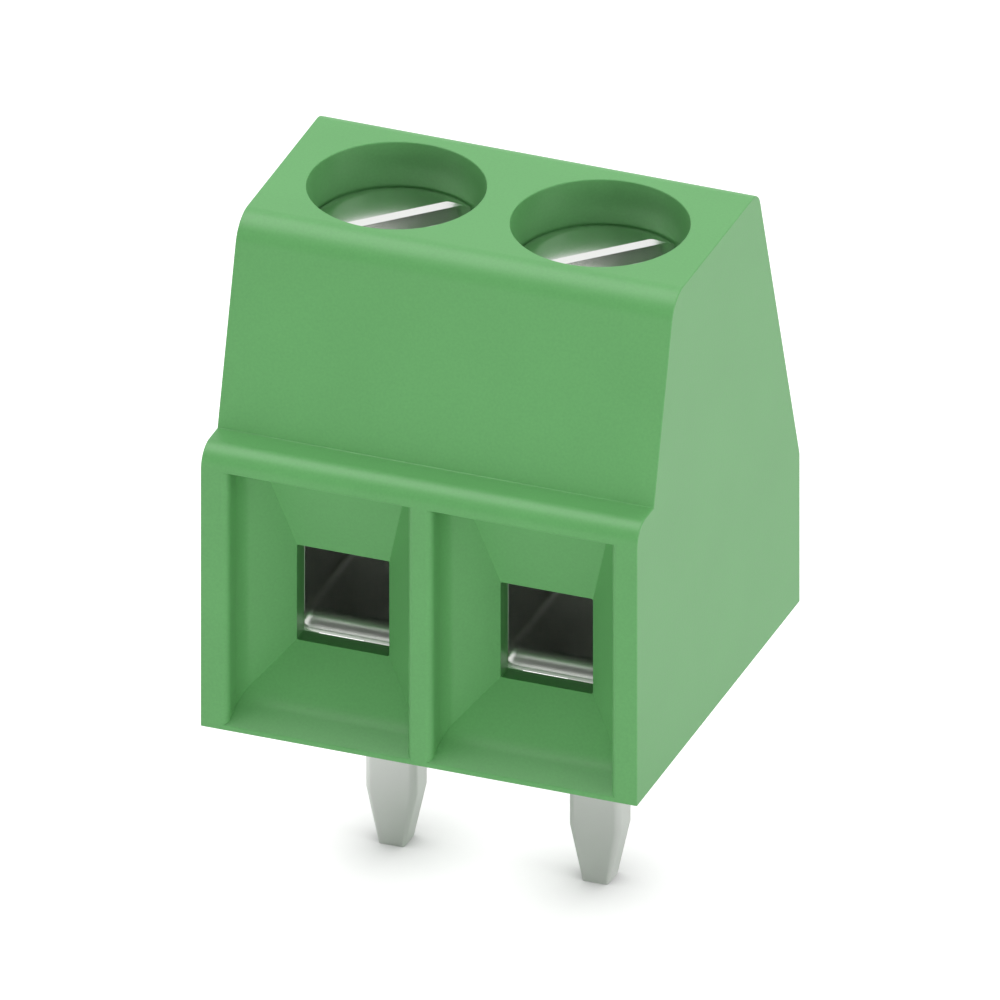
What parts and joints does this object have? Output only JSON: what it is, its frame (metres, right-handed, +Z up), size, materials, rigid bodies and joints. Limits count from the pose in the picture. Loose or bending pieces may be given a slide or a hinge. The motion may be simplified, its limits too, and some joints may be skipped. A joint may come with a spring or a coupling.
{
  "type": "pcb screw terminal",
  "caption": "Green screw terminal for a printed circuit board, with a stepped housing, slotted screws that lift clamping cages, front wire funnels and solder pins below.",
  "frame": {"origin": "on the printed circuit board's surface, midway between the two solder pins", "axes": "+X along the row of poles, +Y to the back with the wires entering from -Y, +Z up along the screws"},
  "size_m": [0.0074, 0.0073, 0.012],
  "materials": {
    "housing_plastic": "satin moulded green plastic",
    "screw_steel": "bright zinc plating over steel",
    "cage_brass": "bright nickel plating over brass",
    "contact_tin": "satin tin plating over copper alloy"
  },
  "bodies": {
    "housing": {"housing": "housing_plastic", "left_contact": "contact_tin", "right_contact": "contact_tin"},
    "left_screw": {"left_screw": "screw_steel"},
    "right_screw": {"right_screw": "screw_steel"},
    "left_cage": {"left_cage": "cage_brass"},
    "right_cage": {"right_cage": "cage_brass"}
  },
  "joints": [
    {"name": "left_screw_turn", "type": "hinge", "parent": "housing", "child": "left_screw", "pos_m": [-0.00175, 0, 0.0068], "axis": [0, 0, 1], "range_deg": [-1260, 0]},
    {"name": "right_screw_turn", "type": "hinge", "parent": "housing", "child": "right_screw", "pos_m": [0.00175, 0, 0.0068], "axis": [0, 0, 1], "range_deg": [-1260, 0]},
    {"name": "left_cage_lift", "type": "slide", "parent": "housing", "child": "left_cage", "axis": [0, 0, 1], "range_m": [0, 0.0014]},
    {"name": "right_cage_lift", "type": "slide", "parent": "housing", "child": "right_cage", "axis": [0, 0, 1], "range_m": [0, 0.0014]}
  ],
  "couplings": [
    {"joint": "left_screw_turn", "follows": "left_cage_lift", "rad_per_m": -15708},
    {"joint": "right_screw_turn", "follows": "right_cage_lift", "rad_per_m": -15708}
  ]
}
